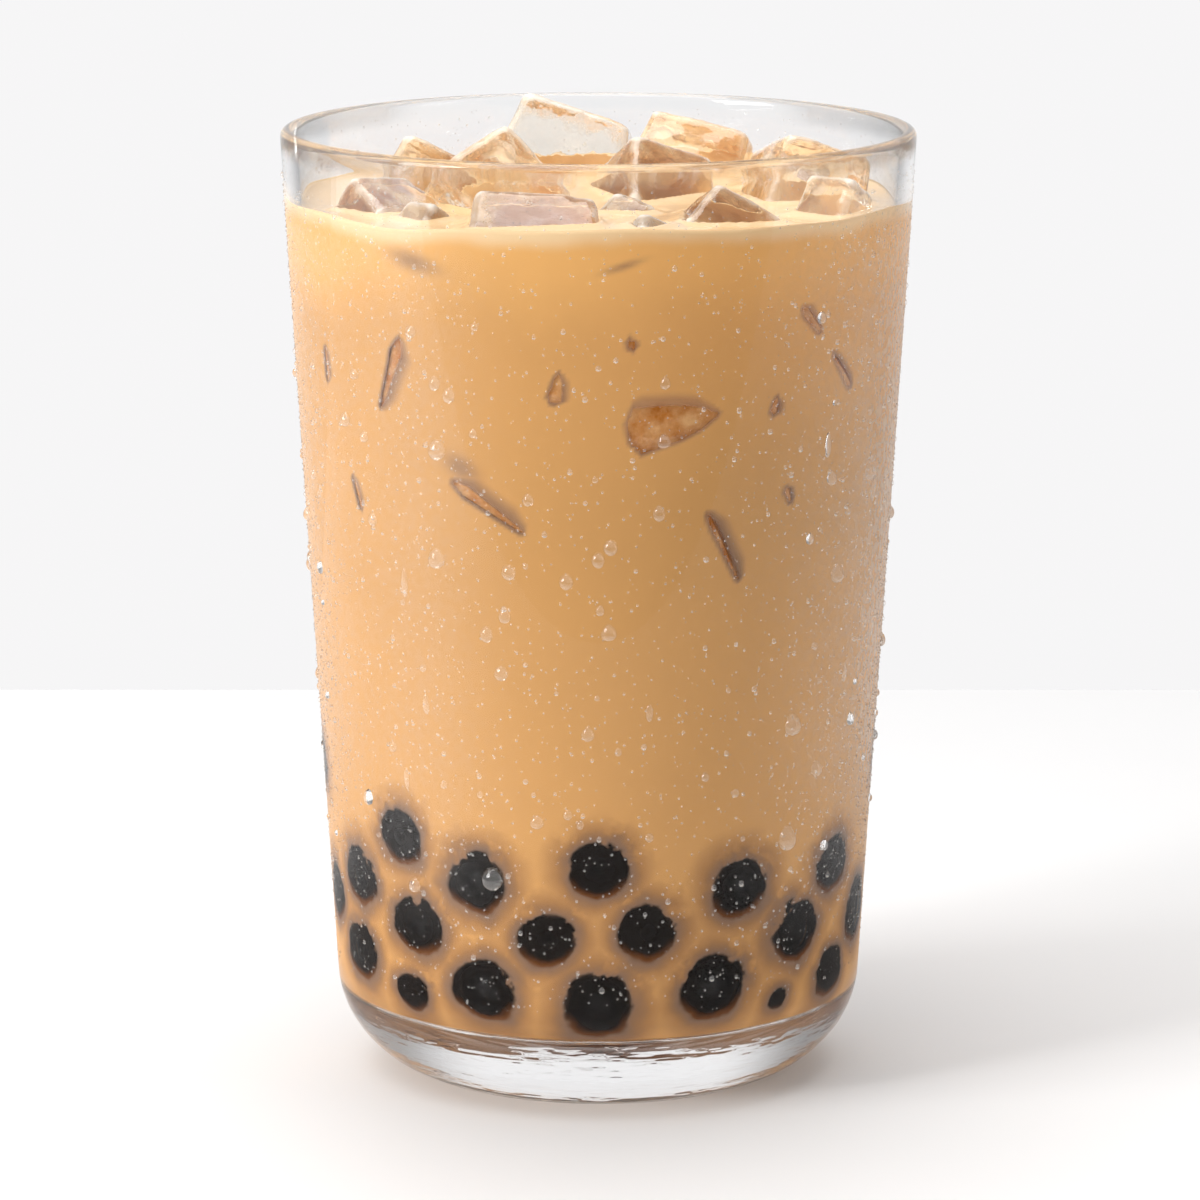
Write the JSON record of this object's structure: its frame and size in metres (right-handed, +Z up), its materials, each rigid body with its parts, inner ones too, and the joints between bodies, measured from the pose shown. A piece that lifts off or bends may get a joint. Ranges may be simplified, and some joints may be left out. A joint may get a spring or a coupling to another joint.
{
  "type": "bubble tea",
  "caption": "Clear flared tumbler of iced milk tea with dark tapioca pearls along the bottom and clear ice blocks floating at the top.",
  "frame": {"origin": "middle of the tumbler's foot, on the surface that it stands on", "axes": "+Z up along the tumbler's axis, -Y towards the viewer"},
  "size_m": [0.0878, 0.0878, 0.1351],
  "materials": {
    "glass": "clear polished glass",
    "tea": "opaque milky tea",
    "tapioca": "wet, nearly black brown",
    "ice": "clear wet ice tinted by the tea"
  },
  "bodies": {
    "root": {"glass": "glass", "tea": "tea", "pearl_01": "tapioca", "pearl_02": "tapioca", "pearl_03": "tapioca", "pearl_04": "tapioca", "pearl_05": "tapioca", "pearl_06": "tapioca", "pearl_07": "tapioca", "pearl_08": "tapioca", "pearl_09": "tapioca", "pearl_10": "tapioca", "pearl_11": "tapioca", "pearl_12": "tapioca", "pearl_13": "tapioca", "pearl_14": "tapioca", "pearl_15": "tapioca", "pearl_16": "tapioca", "pearl_17": "tapioca", "pearl_18": "tapioca", "pearl_19": "tapioca", "pearl_20": "tapioca", "pearl_21": "tapioca", "pearl_22": "tapioca", "pearl_23": "tapioca", "pearl_24": "tapioca", "pearl_25": "tapioca", "pearl_26": "tapioca", "pearl_27": "tapioca", "pearl_28": "tapioca", "pearl_29": "tapioca", "pearl_30": "tapioca", "pearl_31": "tapioca", "pearl_32": "tapioca", "pearl_33": "tapioca", "pearl_34": "tapioca", "pearl_35": "tapioca", "pearl_36": "tapioca", "pearl_37": "tapioca", "pearl_38": "tapioca", "pearl_39": "tapioca", "pearl_40": "tapioca", "ice_back": "ice", "ice_left_back": "ice", "ice_mid_left": "ice", "ice_centre": "ice", "ice_right_back": "ice", "ice_right": "ice", "ice_front_left": "ice", "ice_front_dome": "ice", "ice_front_right": "ice", "ice_far_right": "ice", "ice_back_left": "ice", "ice_back_right": "ice", "ice_small_front": "ice", "ice_front_mid": "ice", "ice_inner_left": "ice", "ice_inner_right": "ice", "ice_front_wedge": "ice"}
  },
  "joints": []
}
